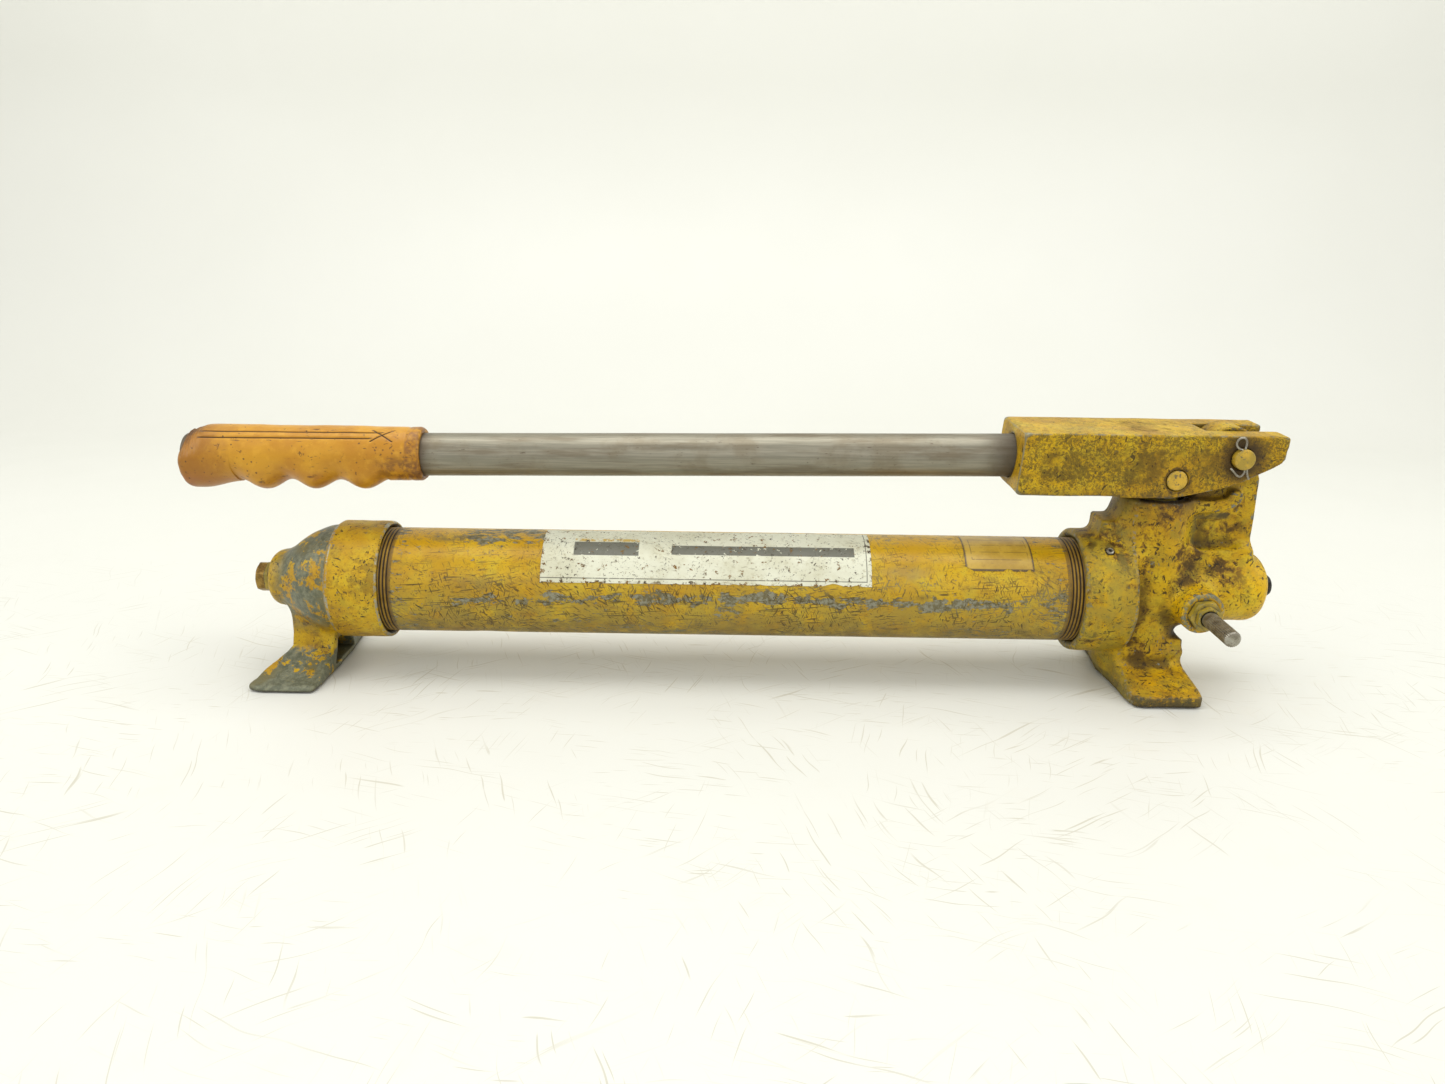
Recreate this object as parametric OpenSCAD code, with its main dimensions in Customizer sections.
// Single-speed hydraulic hand pump: a cast head and a cast end cap hold a
// threaded reservoir tube between two splayed feet; a forged lever beam on a
// clevis pin drives a vertical plunger through a pin in a slotted eye.
// Millimetres. +X runs to the outlet end, -X to the grip, -Y to the release
// valve side (the front), +Z up. The origin is on the floor, under the
// plunger's axis.

/* [Reservoir tube] */
// Outside diameter of the reservoir tube
tube_od = 63.5; // [62:0.5:65]
// Wall thickness of the reservoir tube
tube_wall = 3.5; // [2.6:0.1:4.2]
// Height of the reservoir's axis above the floor
tube_z = 55; // [54.5:0.5:56]
// Position of the tube's left end, inside the end cap
tube_x0 = -484; // [-500:1:-470]
// Pitch of the tube's end threads
thread_pitch = 2.1; // [1.8:0.1:2.4]
// Depth of the tube's end threads
thread_depth = 0.9; // [0.6:0.05:1.1]

/* [End cap] */
// Outside diameter of the end cap's collar
cap_od = 71.6; // [70:0.2:74]
// Length of the end cap's collar along the tube
cap_collar_len = 31; // [28:0.1:36]
// Half depth of the end cap's foot, centre to front edge
cap_foot_y = 48.6; // [46:0.2:54]
// Thickness of the end cap's foot at its edge
cap_foot_t = 3.6; // [3:0.2:6]

/* [Pump head] */
// Outside diameter of the head's reservoir collar
collar_od = 75.2; // [73:0.2:78]
// Diameter of the upright plunger boss
boss_d = 45; // [44:0.5:48]
// Height of the top of the plunger boss
boss_top = 117; // [116:0.5:117.5]
// Diameter of the outlet boss
outlet_d = 43.2; // [42:0.2:47]
// Right-hand end of the outlet boss
outlet_x = 71; // [70:0.5:78]
// Diameter of the release valve boss
valve_boss_d = 25; // [24:0.5:29]
// Depth of the release valve boss face in front of centre
valve_face_y = 38; // [36:0.5:40]
// Half depth of the head's foot, centre to front edge
foot_y = 52; // [48:0.5:56]
// Thickness of the head's foot at its edge
foot_t = 6.5; // [5:0.25:8]
// Thickness of the pivot web that stands in the lever's fork
web_t = 19; // [17:0.25:19.5]

/* [Lever] */
// Pivot position along the pump
pivot_x = 36.2; // [35.8:0.1:36.6]
// Pivot height
pivot_z = 144.5; // [144:0.1:145]
// Diameter of the pivot pin and of the plunger pin
pin_d = 12; // [11:0.1:12.7]
// Depth of the lever beam, front to back
beam_w = 50; // [47:0.5:54]
// Height of the lever beam's flat top
beam_top = 158; // [157.5:0.25:159]
// Depth of the fork slot
slot_w = 20; // [19.8:0.1:21]
// Downward tilt of the handle towards the grip, in degrees
handle_tilt = 0.8; // [0:0.1:1.5]
// Diameter of the handle tube
handle_d = 25.4; // [24:0.2:26]
// Wall thickness of the handle tube
handle_wall = 2.4; // [1.6:0.1:3.5]
// Overall reach of the handle tube from the beam's socket mouth
handle_reach = 489; // [420:1:560]
// Length of the hand grip
grip_len = 140; // [130:0.5:160]

/* [Plunger and valves] */
// Plunger diameter
plunger_d = 11.1; // [10.6:0.05:11.2]
// Release valve stem diameter
stem_d = 9.5; // [9:0.1:9.6]
// Free end of the release valve stem in front of centre
stem_y = 75; // [66:0.5:82]
// Wire diameter of the cotter pin
cotter_d = 2.6; // [2:0.1:3]

/* [Hidden] */
$fn = 96;
// gaps left between fitted pieces
fit = 0.05;
slide = 0.06;

// reservoir and its seal rings
tube_r = tube_od / 2;
tube_x1 = -24;
tube_seat_r = tube_r + slide;
ring_gap = 3.62;
head_stop = tube_x1 + ring_gap;
cap_stop = tube_x0 - ring_gap;

// end cap; its tables are drawn for a tube whose left end is at -484
cap_shift = tube_x0 + 484;
cap_x1 = -460.4 + cap_shift;
cap_x0 = cap_x1 - cap_collar_len;
cap_r = cap_od / 2;
plug_x = -533.8 + cap_shift;

// pump head and its passages
collar_r = collar_od / 2;
boss_r = boss_d / 2;
outlet_r = outlet_d / 2;
outlet_z = 59;
port_x = outlet_x - 18;
suction_z = 33;
suction_r = 3.5;
suction_bore_r = 2.4;
pressure_z = 50;
check_x = 42;
valve_x = 23;
valve_z = 54.4;
stem_neck = stem_d / 2 - 0.5;
relief_x = 16;
relief_y = 11;

// plunger, its bore and its packing
plunger_r = plunger_d / 2;
plunger_foot = 57;
eye_z = 131;
eye_pin_x = 1.4;
bore_r = plunger_r + slide;
bore_floor = 38;
packing_z = 84;
packing_bore_r = 10;
backup_z = 92;
gland_r = 12;
gland_seat_z = boss_top - 6;
wiper_z = boss_top - 3.6;
wiper_seat_r = plunger_r + 2.2;

// ball and spring of the inlet and outlet check valves
check_ball_r = 2.9;
check_spring_r = 2.1;
check_wire_r = 0.35;

// lever, handle and pins
beam_half = beam_w / 2;
slot_half = slot_w / 2;
mouth_x = -87.6;
mouth_z = 138.9;
socket_depth = 58;
handle_r = handle_d / 2;
handle_screw_x = -62;
grip_x0 = -handle_reach + 1.3;
pin_r = pin_d / 2;
pin_bore_r = pin_r + fit;
pin_front = beam_half + 3.6;
cotter_y = beam_half + 2;
cotter_r = cotter_d / 2;

// shared colours
rubber = [0.08, 0.08, 0.08];
ball_steel = [0.80, 0.80, 0.82];
spring_steel = [0.55, 0.55, 0.58];
seat_steel = [0.60, 0.60, 0.62];

// Which piece to build, or all of them

// ---- shared shapes ----

// A profile of (radius, x) points turned about a line parallel to X.
module rev_x(points, z = 0) {
  translate([0, 0, z]) rotate([0, 90, 0]) rotate_extrude() polygon(points);
}

// A profile of (radius, depth) points turned about a line parallel to Y;
// depth counts towards the front, -Y.
module rev_front(points, x, z) {
  translate([x, 0, z]) rotate([90, 0, 0]) rotate_extrude() polygon(points);
}

// A profile of (radius, z) points turned about an upright line.
module rev_z(points, x = 0, y = 0) {
  translate([x, y, 0]) rotate_extrude() polygon(points);
}

// A rod along X, Y or Z between two coordinates.
module rod_x(radius, start, end, y = 0, z = 0) {
  translate([start, y, z]) rotate([0, 90, 0]) cylinder(r = radius, h = end - start);
}
module rod_y(radius, start, end, x = 0, z = 0) {
  translate([x, end, z]) rotate([90, 0, 0]) cylinder(r = radius, h = end - start);
}
module rod_z(radius, start, end, x = 0, y = 0) {
  translate([x, y, start]) cylinder(r = radius, h = end - start);
}

// A box between two corners.
module box(low, high) {
  translate(low) cube(high - low);
}

// An outline in X and Z given depth along Y, centred on the plane y = 0.
module slab_y(points, depth) {
  translate([0, depth / 2, 0]) rotate([90, 0, 0]) linear_extrude(height = depth) polygon(points);
}

// An outline in Y and Z given length along X.
module slab_x(points, start, end) {
  translate([start, 0, 0]) rotate([90, 0, 90]) linear_extrude(height = end - start)
    polygon(points);
}

// A hexagonal prism along Z, measured across its flats, one corner on X.
module hex_z(flats, start, end) {
  translate([0, 0, start]) cylinder(r = flats / sqrt(3), h = end - start, $fn = 6);
}

// A hexagon with the corners of its outer face turned down to a chamfer.
module hex_head(flats, height) {
  corner_r = flats / sqrt(3) + 0.2;
  intersection() {
    hex_z(flats, 0, height);
    rotate_extrude() polygon([[0, 0], [corner_r, 0], [corner_r, height - flats * 0.055],
      [flats * 0.485, height], [0, height]]);
  }
}

// A ring of round section about an axis along Z.
module torus(radius, section_r) {
  rotate_extrude() translate([radius, 0]) circle(r = section_r);
}

// A five-turn coil spring made of half turns that meet on the plane y = 0.
module coil(radius, wire_r, bottom, top) {
  turns = 5;
  rise = (top - bottom - 2 * wire_r) / turns;
  lean = asin(rise / 4 / radius);
  for (i = [0 : 2 * turns - 1])
    translate([0, 0, bottom + wire_r + rise * (i / 2 + 0.25)]) rotate([0, 0, 180 * i])
      rotate([0, lean, 0]) rotate_extrude(angle = 180)
        translate([radius, 0]) circle(r = wire_r, $fn = 10);
}

// An outline followed by its mirror image in reverse order: a plan of (x, y)
// points mirrored across y = 0, and a section of (y, z) points likewise.
function mirror_plan(points) =
  concat(points, [for (i = [len(points) - 1 : -1 : 0]) [points[i][0], -points[i][1]]]);
function mirror_section(points) =
  concat(points, [for (i = [len(points) - 1 : -1 : 0]) [-points[i][0], points[i][1]]]);

// ---- reservoir ----

// (radius, x) points of the V grooves cut into the tube, one every pitch.
function grooves(start, end) = [for (i = [0 : floor((end - start) / thread_pitch) - 1])
  for (p = [[tube_r, 0.25], [tube_r - thread_depth, 0.5 * thread_pitch],
      [tube_r, thread_pitch - 0.25]])
    [p[0], start + i * thread_pitch + p[1]]];

module reservoir_tube() {
  inner_r = tube_r - tube_wall;
  color([0.80, 0.63, 0.16])
    rev_x(concat([[inner_r, tube_x0], [tube_r - 1, tube_x0], [tube_r, tube_x0 + 1]],
      grooves(tube_x0 + 2, cap_x1 + 6.2), grooves(-52.6, tube_x1 - 1.2),
      [[tube_r, tube_x1 - 1], [tube_r - 1, tube_x1], [inner_r, tube_x1]]), tube_z);
}

// A thin sheet wrapped round the tube through part of a turn.
module tube_wrap(x, first_angle, sweep, thickness, length) {
  translate([x, 0, tube_z]) rotate([0, 90, 0]) rotate([0, 0, first_angle])
    rotate_extrude(angle = sweep) translate([tube_r + 0.02, 0]) square([thickness, length]);
}

module reservoir_label() {
  color([0.82, 0.82, 0.76])
    tube_wrap(x = -365.2, first_angle = 174, sweep = 77, thickness = 0.3, length = 195);
}

module rating_sticker() {
  color([0.80, 0.70, 0.35])
    tube_wrap(x = -114.7, first_angle = 175, sweep = 57, thickness = 0.25, length = 40.5);
}

// A seal ring at either end of the tube.
module seal_ring(x) {
  translate([x, 0, tube_z]) rotate([0, 90, 0]) torus(tube_r - 1.85, 1.79);
}

module head_seal_ring() {
  color(rubber) seal_ring(tube_x1 + ring_gap / 2);
}

module cap_seal_ring() {
  color(rubber) seal_ring(tube_x0 - ring_gap / 2);
}

// ---- end cap ----

// The foot's plan cut to its cross section.
module cap_foot() {
  edge = cap_foot_y;
  thick = cap_foot_t;
  // front half, (x, y)
  plan = [[-520, 0], [-522, -15], [-526, -19.5], [-531, -26], [-534.5, -33],
    [-538, 6.1 - edge], [-538.2, 4.1 - edge], [-536, 2.3 - edge], [-529, 0.1 - edge],
    [-500, -edge], [-498.6, 3.4 - edge], [-497.9, 5.9 - edge], [-495.8, -12], [-495.8, 0]];
  // front half, (y, z)
  section = [[-edge, 0], [-edge, thick - 2.6], [4 - edge, thick - 0.2],
    [10.6 - edge, thick + 1.4], [-30, thick + 4.4], [-24, thick + 6.9], [-19, thick + 9.6],
    [-16, thick + 12.4], [-13.6, thick + 20.4], [-12.5, 45]];
  translate([cap_shift, 0, 0]) intersection() {
    linear_extrude(height = 45) polygon(mirror_plan(plan));
    slab_x(mirror_section(section), -545, -490);
  }
}

// Rounded face of the dome between the plug boss and the collar, (radius, x)
cap_dome = [[19.5, -521], [21.4, -518.3], [24.2, -514.8], [26.8, -511], [29, -507.2],
  [31, -502.6], [32.5, -497.8], [33.2, -493.2]];

module end_cap() {
  color([0.62, 0.60, 0.42]) difference() {
    union() {
      // plug boss, dome and collar
      rev_x(concat([[0, plug_x], [11.5, plug_x], [14.2, plug_x + 0.9], [16.2, plug_x + 2.8],
        [17.2, plug_x + 5.6], [17.5, plug_x + 8.6], [18.2, plug_x + 10.6]],
        [for (p = cap_dome) [p[0], p[1] + cap_shift]],
        [[34, cap_x0 - 0.2], [35.2, cap_x0 + 0.5], [cap_r, cap_x0 + 2], [cap_r, cap_x1 - 1.6],
        [cap_r - 0.7, cap_x1 - 0.4], [cap_r - 1.6, cap_x1], [0, cap_x1]]), tube_z);
      cap_foot();
      // neck between the dome and the foot
      slab_x(mirror_section([[-13, 4], [-12.5, 40]]), -518.5 + cap_shift, -499 + cap_shift);
    }
    // bore for the reservoir thread, then the hollow of the dome
    rev_x([[0, cap_stop - 12], [19, cap_stop - 12], [26, cap_stop - 8], [28.4, cap_stop],
      [tube_seat_r, cap_stop], [tube_seat_r, cap_x1 + 1], [0, cap_x1 + 1]], tube_z);
    // fill plug bore
    rod_x(7.25, plug_x - 1, cap_stop - 11, 0, tube_z);
    // pocket in the neck and foot, open towards +X
    translate([cap_shift, 0, 0]) slab_x(mirror_section([[-15.5, 3.4], [-10, 19]]), -511, -480);
  }
}

module fill_plug_washer() {
  color([0.10, 0.10, 0.10]) rev_x([[7.3, plug_x - 1.4], [8.3, plug_x - 1.4],
    [8.6, plug_x - 1.1], [8.6, plug_x - 0.02], [7.3, plug_x - 0.02]], tube_z);
}

// Turns a hexagon to face -X on the reservoir's axis.
module plug_facing(x) {
  translate([x, 0, tube_z]) rotate([0, -90, 0]) rotate([0, 0, 30]) children();
}

module fill_plug() {
  color([0.45, 0.36, 0.20]) difference() {
    union() {
      rod_x(7.2, plug_x - 2.4, plug_x + 14, 0, tube_z);
      // hexagonal flange, a narrow waist, then the hexagon for the wrench
      plug_facing(plug_x - 1.42) hex_z(16.8, 0, 2.5);
      rod_x(7.9, plug_x - 4.4, plug_x - 3.8, 0, tube_z);
      plug_facing(plug_x - 4.2) hex_head(16.5, 5.2);
    }
    // breather drilling
    rod_x(1.6, plug_x - 3, plug_x + 15, 0, tube_z);
    rod_z(0.8, tube_z - 12, tube_z, plug_x - 3.2);
  }
}

// ---- suction line inside the reservoir ----

module suction_pipe() {
  color([0.72, 0.58, 0.25]) difference() {
    rod_x(suction_r, -72, -14, 0, suction_z);
    rod_x(suction_bore_r, -73, -13, 0, suction_z);
  }
}

module suction_strainer() {
  pipe_seat_r = suction_r + fit;
  color([0.78, 0.70, 0.42]) difference() {
    rev_x([[0, -92], [3.8, -92], [4.8, -91], [4.8, -67], [4.2, -66], [0, -66]], suction_z);
    rev_x([[0, -91], [3.9, -91], [3.9, -72], [pipe_seat_r, -72], [pipe_seat_r, -65], [0, -65]],
      suction_z);
    // cross drillings along the strainer
    for (i = [0 : 4]) {
      rod_y(1.2, -6, 6, -88 + 3.6 * i, suction_z);
      rod_z(1.2, suction_z - 6, suction_z + 6, -88 + 3.6 * i);
    }
  }
}

// ---- pump head ----

// The foot's plan cut to its cross section.
module head_foot() {
  edge = foot_y;
  thick = foot_t;
  // front half, (x, y)
  plan = [[-20.6, 0], [-19.2, -6], [-17.8, -24], [-16.6, 11 - edge], [-15.6, 5 - edge],
    [-14, 2 - edge], [-11.6, 0.3 - edge], [-10, -edge], [20, -edge], [23.8, 1.2 - edge],
    [25.6, 3.8 - edge], [25.8, 7 - edge], [24.8, -30], [23.4, -20], [23, 0]];
  // front half, (y, z)
  section = [[-edge, 0], [-edge, thick - 1.6], [0.5 - edge, thick - 0.6], [1.6 - edge, thick],
    [4 - edge, thick + 0.5], [-30, thick + 5.2], [-24, thick + 7.4], [-21.2, thick + 9.8],
    [-20, thick + 13], [-20, 30]];
  intersection() {
    linear_extrude(height = 30) polygon(mirror_plan(plan));
    slab_x(mirror_section(section), -35, 35);
  }
}

// Side outlines of the head's slabs, (x, z)
ledge_side = [[-33.4, 84], [-33.2, 96], [-33, 101.6], [-32.2, 102.3], [-24.6, 102.3],
  [-22.9, 104.2], [-20.4, 109], [-16, 115], [-10, 115], [-10, 84]];
shoulder_side = [[0, 57], [0, 88.8], [54, 88.8], [57.4, 87.7], [59.4, 85], [60, 81], [60, 57]];
web_side = [[0, 57], [0, 112], [16, 117], [19, 123], [20.6, 140], [pivot_x, 157], [50.6, 140],
  [56.2, 130.4], [57, 127.6], [57.8, 86], [57.8, 57]];
rib_side = [[0, 104], [20, 108.6], [34.8, 110.1], [39, 111.2], [42.4, 113], [44.8, 115.6],
  [46, 118.8], [45.9, 121], [45, 122.5], [42, 123.1], [38.9, 122.3], [37.6, 120],
  [36.4, 118.2], [30, 117.1], [0, 116.6]];

// Front halves of the pedestal's plans, (x, y)
pedestal_plan = [[-21.8, 0], [-20.8, -13], [-17.4, -18], [-13, -20], [17, -20],
  [21.6, -18.4], [23.2, -14], [23.4, 0]];
pedestal_lip_plan = [[-22.6, 0], [-21.6, -14], [-18, -19.6], [-13, -21.6], [18, -21.6],
  [23, -19.6], [24.8, -15], [25, 0]];

module head_outside() {
  valve_boss_r = valve_boss_d / 2;
  // reservoir collar with rounded rims
  rev_x([[0, -45.4], [collar_r - 2.2, -45.4], [collar_r - 0.8, -44.8], [collar_r, -43.2],
    [collar_r, -18], [collar_r - 0.7, -16], [collar_r - 2.2, -14.8], [collar_r - 5, -14.2],
    [0, -14.2]], tube_z);
  // upright plunger boss
  rev_z([[0, 10], [boss_r, 10], [boss_r, boss_top - 1.5], [boss_r - 0.5, boss_top - 0.5],
    [boss_r - 1.5, boss_top], [0, boss_top]]);
  // filled shoulder between the collar and the plunger boss
  box([-22, -20, 30], [0, 20, 84]);
  box([-24, -14, 70], [0, 14, 98]);
  // ledge block on top of the collar
  slab_y(ledge_side, 22);
  // outlet boss with a rounded end
  rev_x([[0, 0], [outlet_r, 0], [outlet_r, outlet_x - 12], [outlet_r - 0.7, outlet_x - 8.2],
    [outlet_r - 2.4, outlet_x - 4.8], [outlet_r - 5.2, outlet_x - 2],
    [outlet_r - 8.4, outlet_x - 0.5], [outlet_r - 11, outlet_x], [0, outlet_x]], outlet_z);
  // shoulder between the outlet boss and the web
  slab_y(shoulder_side, 28);
  // upright web, drawn out to the pivot lug
  slab_y(web_side, web_t);
  rod_y(15.3, -web_t / 2, web_t / 2, pivot_x, pivot_z);
  // rib that curls up beside the web
  slab_y(rib_side, 31);
  // release valve boss
  rev_front([[0, 0], [valve_boss_r + 3, 0], [valve_boss_r + 1, 20], [valve_boss_r, 26],
    [valve_boss_r, valve_face_y - 1.2], [valve_boss_r - 1.2, valve_face_y],
    [0, valve_face_y]], valve_x, valve_z);
  // pedestal, its lip, and the foot
  linear_extrude(height = 26) polygon(mirror_plan(pedestal_plan));
  translate([0, 0, 19.5]) linear_extrude(height = 3.6) polygon(mirror_plan(pedestal_lip_plan));
  head_foot();
}

// The set screw's frame: Z runs out from the reservoir's axis along the screw.
module on_collar_screw() {
  translate([-29.7, 0, tube_z]) rotate([32.6, 0, 0]) children();
}

module head_passages() {
  // thread bore and reservoir end
  rod_x(tube_seat_r, -50, head_stop, 0, tube_z);
  // suction passage up to the inlet seat
  rod_x(suction_r + slide, head_stop - 1, -13.9, 0, suction_z);
  rod_x(suction_bore_r, -15, 0, 0, suction_z);
  rod_z(suction_bore_r, suction_z, 38.5);
  // plunger bore, packing bore, gland thread and counterbore
  rod_z(bore_r, bore_floor, 90);
  rod_z(packing_bore_r, packing_z, 97);
  rod_z(gland_r, 96.9, boss_top + 1);
  rod_z(16.2, gland_seat_z, boss_top + 6);
  // pressure passage to the outlet check valve
  rod_x(1.8, 0, check_x, 0, pressure_z);
  rod_z(6, 30, 64, check_x);
  // high pressure gallery and outlet port
  rod_x(2.2, 14, port_x, 0, outlet_z);
  rod_x(7.9, port_x, outlet_x + 1, 0, outlet_z);
  // release valve bore, seat and return
  rod_y(1.6, -8, 1, valve_x, valve_z);
  rod_z(1.5, valve_z, outlet_z, valve_x);
  rod_y(stem_neck + slide, -34, -8, valve_x, valve_z);
  rod_y(7.6, -valve_face_y - 1, -27, valve_x, valve_z);
  rod_x(1.6, head_stop - 1, valve_x, -11, valve_z);
  // relief valve bore, seat and return
  rod_z(4, -1, 48, relief_x, relief_y);
  rod_z(1.2, 47, outlet_z, relief_x, relief_y);
  rod_y(1.6, 0, relief_y + 1, relief_x, outlet_z);
  rod_x(1.6, head_stop - 1, relief_x, relief_y, 36);
  // pivot bore
  rod_y(pin_bore_r, -web_t, web_t, pivot_x, pivot_z);
  // set screw hole in the collar
  on_collar_screw() translate([0, 0, 25]) cylinder(r = 2.46, h = 16);
  // room for the lever's flat underside above the boss
  box([-40, -40, boss_top], [14, 40, boss_top + 9]);
}

module pump_head() {
  color([0.78, 0.60, 0.16]) difference() {
    head_outside();
    head_passages();
  }
}

module collar_set_screw() {
  color([0.45, 0.45, 0.45]) on_collar_screw() difference() {
    rotate_extrude() polygon([[0, tube_r + 0.1], [1.6, tube_r + 0.1], [2.4, tube_r + 0.9],
      [2.4, collar_r + 0.2], [2, collar_r + 0.6], [0, collar_r + 0.8]]);
    hex_z(2.4, collar_r - 1.6, collar_r + 2);
  }
}

// ---- plunger and its packing ----

module plunger() {
  slot_r = pin_r + 0.25;
  slot_reach = 1.5;
  color([0.72, 0.73, 0.75]) difference() {
    union() {
      rev_z([[0, plunger_foot], [plunger_r - 0.8, plunger_foot],
        [plunger_r, plunger_foot + 0.8], [plunger_r, 121.5], [0, 121.5]]);
      // flat eye
      intersection() {
        union() {
          rod_y(10.6, -8, 8, 0, eye_z);
          box([-8.6, -8, 120.4], [8.6, 8, eye_z]);
        }
        rev_z([[0, 118], [7, 118], [11.4, 124], [13.4, 131], [13.4, 142], [0, 142]]);
      }
    }
    // slotted hole round the plunger pin
    for (x = [-slot_reach, slot_reach]) rod_y(slot_r, -10, 10, x, eye_z);
    box([-slot_reach, -10, eye_z - slot_r], [slot_reach, 10, eye_z + slot_r]);
  }
}

// The packing and the rings fill the space between these two radii.
ring_inner_r = plunger_r + fit;
packing_outer_r = packing_bore_r - fit;

module plunger_packing() {
  color([0.30, 0.16, 0.10]) rev_z([[ring_inner_r, packing_z + fit],
    [packing_outer_r, packing_z + fit], [packing_outer_r, 91.5], [9.2, 92], [8.2, 90],
    [7.2, 90], [6.4, 92], [ring_inner_r, 91.5]]);
}

module packing_backup_ring() {
  color([0.88, 0.86, 0.78]) rev_z([[ring_inner_r, backup_z + fit],
    [packing_outer_r, backup_z + fit], [packing_outer_r, 95], [ring_inner_r, 95]]);
}

module packing_gland_nut() {
  color([0.55, 0.50, 0.30]) difference() {
    union() {
      rod_z(9.9, 95.05, 98);
      rod_z(gland_r - fit, 97, gland_seat_z + 0.1);
      translate([0, 0, gland_seat_z + fit]) hex_head(26.5, 5.6);
    }
    rod_z(bore_r, 90, boss_top + 1);
    rod_z(wiper_seat_r, wiper_z, boss_top + 1);
  }
}

module plunger_wiper() {
  outer_r = wiper_seat_r - fit;
  color([0.12, 0.12, 0.12]) rev_z([[ring_inner_r, wiper_z + fit], [outer_r, wiper_z + fit],
    [outer_r, boss_top - 0.6], [plunger_r + 1, boss_top - 0.2], [ring_inner_r, boss_top - 1.2]]);
}

// ---- check, relief and release valves ----

inlet_outer_r = bore_r - fit;

module inlet_seat() {
  color(seat_steel) rev_z([[1.9, bore_floor + fit], [inlet_outer_r, bore_floor + fit],
    [inlet_outer_r, 43.2], [3.4, 43.2], [1.9, 41.2]]);
}

module inlet_ball() {
  color(ball_steel) translate([0, 0, 43.6]) sphere(r = check_ball_r);
}

module inlet_spring() {
  color(spring_steel) coil(check_spring_r, check_wire_r, 46.1, 53.9);
}

module inlet_spring_clip() {
  color([0.45, 0.45, 0.47])
    rev_z([[1.4, 54], [inlet_outer_r, 54], [inlet_outer_r, 55], [1.4, 55]]);
}

module outlet_seat_plug() {
  color([0.58, 0.58, 0.55]) translate([check_x, 0, 0]) difference() {
    rev_z([[0, 38.2], [5.2, 38.2], [5.95, 39], [5.95, 53.4], [3.3, 53.4], [1.9, 51.6],
      [0, 51.6]]);
    // seat bore, its side inlet, and the wrench socket
    rod_z(1.9, 48, 54);
    rod_x(1.85, -7, 0, 0, pressure_z);
    hex_z(5, 30, 42);
  }
}

module outlet_ball() {
  color(ball_steel) translate([check_x, 0, 54]) sphere(r = check_ball_r);
}

module outlet_spring() {
  color(spring_steel) translate([check_x, 0, 0]) coil(check_spring_r, check_wire_r, 56.5, 63.95);
}

module relief_ball() {
  color(ball_steel) translate([relief_x, relief_y, 46.15]) sphere(r = 2.1);
}

module relief_guide() {
  color(seat_steel) rev_z([[0, 37.6], [1.3, 37.6], [1.3, 41], [3.6, 41], [3.6, 43],
    [1.8, 43.9], [0, 43.9]], relief_x, relief_y);
}

module relief_spring() {
  color(spring_steel) translate([relief_x, relief_y, 0]) coil(3, 0.6, 30.05, 40.95);
}

module relief_adjusting_screw() {
  color([0.50, 0.50, 0.50]) translate([relief_x, relief_y, 0]) difference() {
    rev_z([[0, 2], [3.3, 2], [3.95, 2.7], [3.95, 29], [3.3, 30], [0, 30]]);
    hex_z(4, 0, 5.5);
  }
}

// The release valve's frame: Z runs towards the front from a depth before centre.
module on_valve(depth) {
  translate([valve_x, -depth, valve_z]) rotate([90, 0, 0]) children();
}

module release_stem() {
  stem_r = stem_d / 2;
  step_y = valve_face_y + 8.6;
  color([0.58, 0.58, 0.56])
    rev_front([[0, 7.4], [1.2, 7.4], [3.1, 10.4], [3.1, 15], [stem_neck - 0.6, 15],
      [stem_neck, 15.8], [stem_neck, 28.4], [2.9, 28.4], [2.9, 32], [stem_neck, 32],
      [stem_neck, step_y], [stem_r, step_y], [stem_r, stem_y - 0.7], [stem_r - 0.7, stem_y],
      [0, stem_y]], valve_x, valve_z);
}

module release_o_ring() {
  color(rubber) on_valve(30.2) torus(3.6, 0.68);
}

module release_packing_nut() {
  color([0.48, 0.48, 0.32]) on_valve(valve_face_y) difference() {
    union() {
      translate([0, 0, -10.9]) cylinder(r = 7.5, h = 11);
      translate([0, 0, 0.02]) hex_head(16.8, 4.4);
      translate([0, 0, 4]) hex_head(12.6, 3.8);
    }
    translate([0, 0, -12]) cylinder(r = stem_neck + slide, h = 30);
  }
}

module outlet_plug() {
  color([0.20, 0.20, 0.19]) difference() {
    union() {
      rod_x(7.84, outlet_x - 12, outlet_x - 0.4, 0, outlet_z);
      translate([outlet_x - 0.5, 0, outlet_z]) rotate([0, 90, 0]) rotate([0, 0, 15])
        hex_head(12, 7.5);
    }
    rod_x(3, outlet_x - 13, outlet_x - 5, 0, outlet_z);
  }
}

// ---- lever ----

// The handle's own frame: X along the handle, zero at the socket's mouth.
module on_handle() {
  translate([mouth_x, 0, mouth_z]) rotate([0, -handle_tilt, 0]) children();
}

// Side outline of the beam, (x, z)
beam_side = [[-90.4, 122.4], [-89, 121], [-87, 120.5], [-32.6, 120.5], [-31.4, 119.9],
  [-2, 119.9], [4, 120.7], [12, 122.4], [22, 124.8], [32, 127.6], [40, 130.6], [47, 134.1],
  [54, 138.2], [60.4, 142.4], [61.6, 144.4], [62.6, beam_top - 3], [62.2, beam_top - 1.2],
  [60.4, beam_top], [-86, beam_top], [-87.8, beam_top - 0.8], [-88.4, beam_top - 2.6]];

// Front half of the beam's section with its long edges eased, (y, z)
beam_section = [[2 - beam_half, 119], [-beam_half, 121], [-beam_half, beam_top - 1.5],
  [0.5 - beam_half, beam_top - 0.4], [1.6 - beam_half, beam_top + 0.1]];

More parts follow.
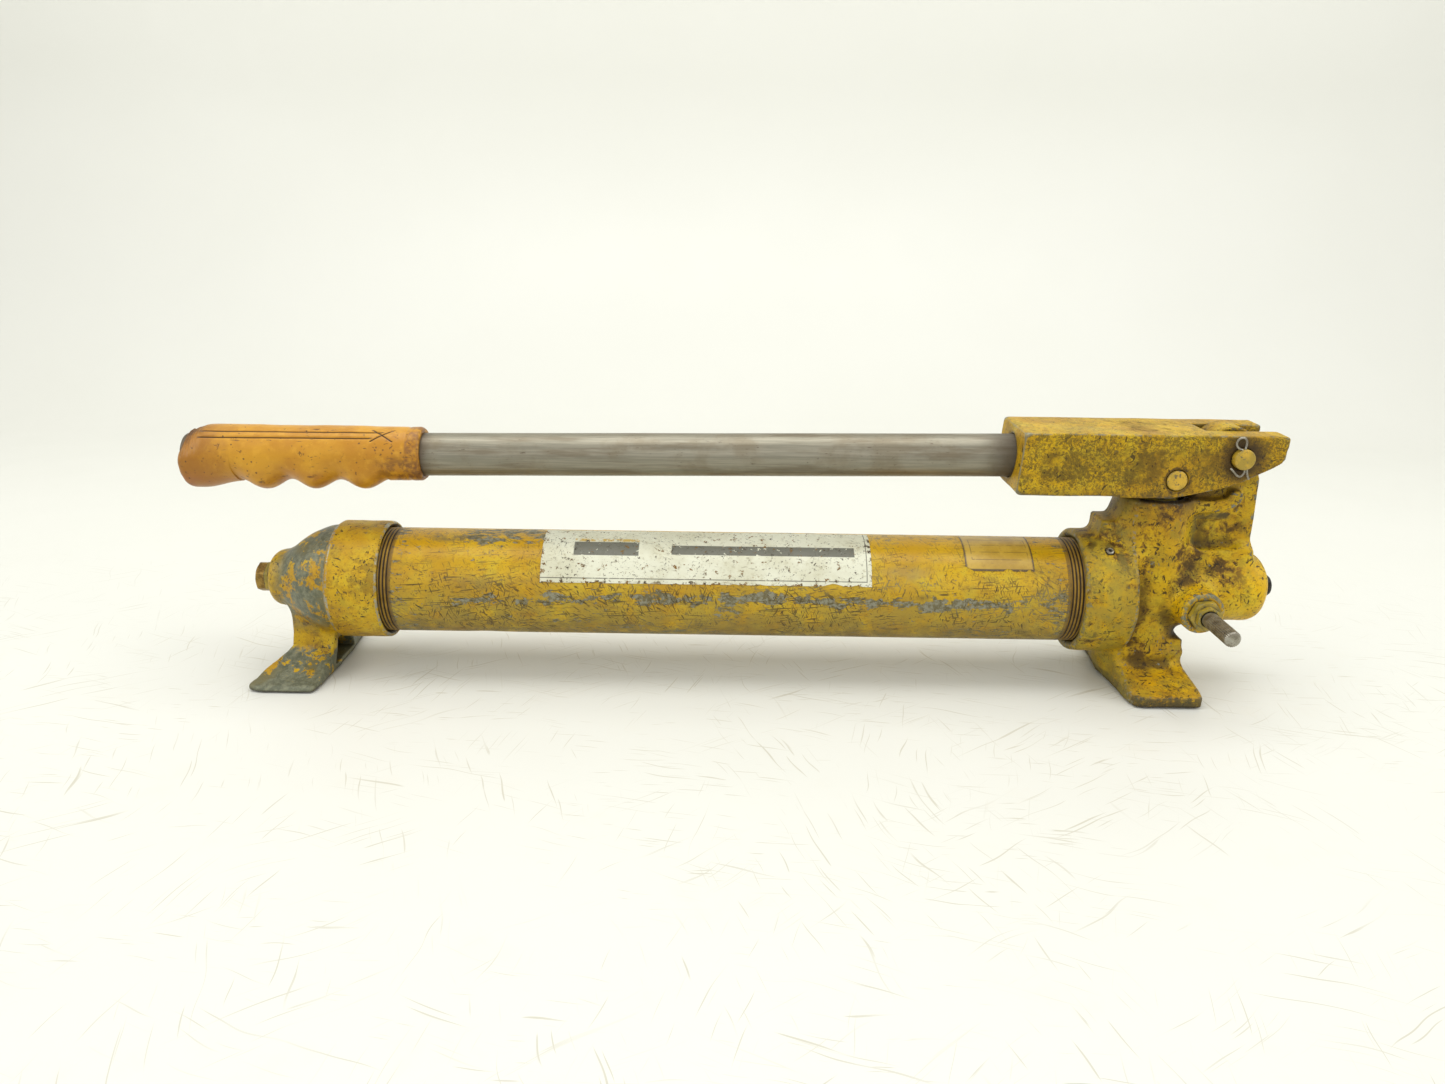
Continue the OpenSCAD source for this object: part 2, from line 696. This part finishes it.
module lever_beam() {
  color([0.74, 0.58, 0.20]) difference() {
    intersection() {
      slab_y(beam_side, beam_w);
      slab_x(mirror_section(beam_section), -92, 64);
    }
    // fork slot, open above, below and at the tip
    box([20.4, -slot_half, 110], [70, slot_half, 170]);
    // pocket for the plunger's eye, open below
    box([-7, -slot_half, 110], [21, slot_half, 146.4]);
    box([-14.6, -slot_half, 110], [20, slot_half, 139]);
    rod_y(7.6, -slot_half, slot_half, -7, 138.8);
    // socket for the handle tube
    on_handle() rod_x(handle_r + fit, -10, socket_depth);
    // pin bores
    rod_y(pin_bore_r, -40, 40, pivot_x, pivot_z);
    rod_y(pin_r + 0.02, -40, 40, eye_pin_x, eye_z);
    // handle set screw
    rod_z(4.05, 115, 130, handle_screw_x);
  }
}

module handle_tube() {
  color([0.62, 0.60, 0.56]) on_handle() difference() {
    rev_x([[0, 1 - handle_reach], [handle_r - 0.6, 1 - handle_reach],
      [handle_r, 1.6 - handle_reach], [handle_r, socket_depth - 0.6],
      [handle_r - 0.6, socket_depth], [0, socket_depth]]);
    rod_x(handle_r - handle_wall, -handle_reach, socket_depth + 1);
  }
}

// Main sleeve of the grip, (radius, x)
grip_sleeve = [[0, 0.4], [13.4, 0.4], [15.7, 1.1], [16.9, 2.5], [17.4, 4.6], [17.4, 18],
  [17, 40], [16.5, 60], [16.2, 90], [15.5, grip_len - 24], [15, grip_len - 3],
  [14.6, grip_len - 0.8], [14, grip_len], [0, grip_len]];

// Palm swell at the end, then three finger swells, (radius, x)
grip_swells = concat([[0, 0.5], [11, 0.5], [14, 1.4], [15.9, 3.8], [16.6, 8], [16.4, 14],
  [15, 20.6], [13.2, 27.4]],
  [for (i = [0 : 35]) [12.4 + 2.4 * (1 - cos(30 * i)), 30.9 + 2.45 * i]],
  [[11.8, 118.8], [0, 118.8]]);

// Rolled rim at the end nearest the beam, (radius, x)
grip_rim = [[0, grip_len - 6], [15, grip_len - 6], [15.7, grip_len - 5],
  [15.9, grip_len - 2.6], [15.3, grip_len - 0.6], [14.3, grip_len], [0, grip_len]];

module handle_grip() {
  color([0.80, 0.53, 0.17]) on_handle() translate([grip_x0, 0, 0]) difference() {
    union() {
      rev_x(grip_sleeve, 0.9);
      rev_x(grip_swells, -3.1);
      rev_x(grip_rim, 0.4);
    }
    rod_x(handle_r + 0.03, -1, grip_len + 1);
  }
}

module handle_set_screw() {
  color([0.25, 0.25, 0.26]) difference() {
    rev_z([[0, 121.4], [3.4, 121.4], [4, 122], [4, 126], [3.4, 126.45], [0, 126.45]],
      handle_screw_x);
    translate([handle_screw_x, 0, 0]) hex_z(4, 120, 124);
  }
}

// The cotter's frame: Z along its shank, zero on the pivot pin's axis.
module on_cotter() {
  translate([pivot_x, -cotter_y, pivot_z]) rotate([0, -16, 0]) children();
}

module pivot_pin() {
  head_r = pin_r + 2.6;
  under_head = -beam_half - 0.1;
  color([0.62, 0.55, 0.32]) difference() {
    union() {
      rev_front([[0, under_head], [pin_r, under_head], [pin_r, pin_front - 1],
        [pin_r - 1, pin_front], [0, pin_front]], pivot_x, pivot_z);
      // head at the back
      rev_front([[0, -beam_half - 3.4], [pin_r + 1.4, -beam_half - 3.4],
        [head_r, -beam_half - 2.6], [head_r, under_head], [0, under_head]], pivot_x, pivot_z);
    }
    on_cotter() translate([0, 0, -12]) cylinder(r = cotter_r + slide, h = 24);
  }
}

module cotter_pin() {
  color([0.55, 0.54, 0.50]) on_cotter() {
    // eye above the pin
    translate([0, 0, 10.3]) rotate([90, 0, 0]) torus(2.5, cotter_r * 0.8);
    translate([0, 0, -7.3]) {
      // straight shank through the pin, rounded where the legs start
      cylinder(r = cotter_r, h = 15.4);
      sphere(r = cotter_r);
      // legs bent apart below, (angle, length)
      for (leg = [[-112, 6.4], [152, 4.6]])
        rotate([0, leg[0], 0]) cylinder(r1 = cotter_r * 0.98, r2 = cotter_r * 0.7, h = leg[1]);
    }
  }
}

module plunger_pin() {
  color([0.62, 0.52, 0.26]) rev_front([[0, -beam_half + 0.4], [pin_r - 0.7, -beam_half + 0.4],
    [pin_r, -beam_half + 1.1], [pin_r, beam_half - 0.9], [pin_r - 0.7, beam_half - 0.2],
    [0, beam_half - 0.2]], eye_pin_x, eye_z);
}

pump_head();
reservoir_tube();
end_cap();
head_seal_ring();
cap_seal_ring();
suction_pipe();
suction_strainer();
collar_set_screw();
reservoir_label();
rating_sticker();
fill_plug();
fill_plug_washer();
plunger();
plunger_packing();
packing_backup_ring();
packing_gland_nut();
plunger_wiper();
inlet_seat();
inlet_ball();
inlet_spring();
inlet_spring_clip();
outlet_seat_plug();
outlet_ball();
outlet_spring();
relief_ball();
relief_guide();
relief_spring();
relief_adjusting_screw();
release_stem();
release_o_ring();
release_packing_nut();
outlet_plug();
lever_beam();
handle_tube();
handle_grip();
handle_set_screw();
pivot_pin();
cotter_pin();
plunger_pin();
